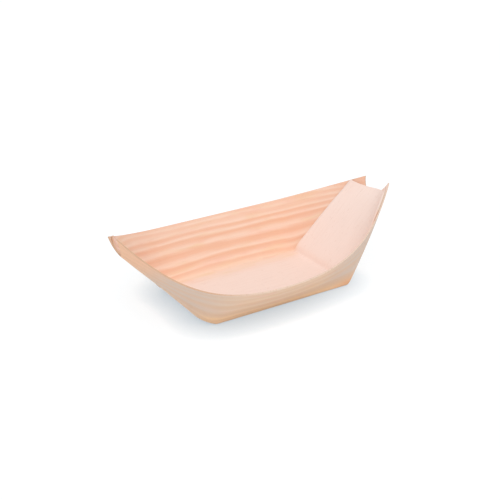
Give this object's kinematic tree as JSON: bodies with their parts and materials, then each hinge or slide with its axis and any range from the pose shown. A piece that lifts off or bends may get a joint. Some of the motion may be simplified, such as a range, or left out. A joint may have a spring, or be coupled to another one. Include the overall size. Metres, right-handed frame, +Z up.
{
  "type": "wooden boat dish",
  "caption": "Disposable boat-shaped serving dish of thin pine veneer, with a flat base, flared long walls and rising ends where the walls' tails lap round a curled flap.",
  "frame": {"origin": "middle of the overall size in plan, on the table under the flat base", "axes": "+X along the dish to the right-hand end, +Y across it to the back wall, +Z up"},
  "size_m": [0.1694, 0.1005, 0.0492],
  "materials": {
    "pale_heart": "bare sliced veneer, pale pink, matt",
    "striped_pine": "bare sliced veneer, peach with orange growth rings, matt",
    "dried_glue": "thin dried glue film, out of sight in the laps"
  },
  "bodies": {
    "root": {"base_panel": "pale_heart", "back_wall": "striped_pine", "front_wall": "striped_pine", "left_end_flap": "pale_heart", "right_end_flap": "pale_heart", "left_back_glue": "dried_glue", "left_front_glue": "dried_glue", "right_back_glue": "dried_glue", "right_front_glue": "dried_glue"}
  },
  "joints": []
}
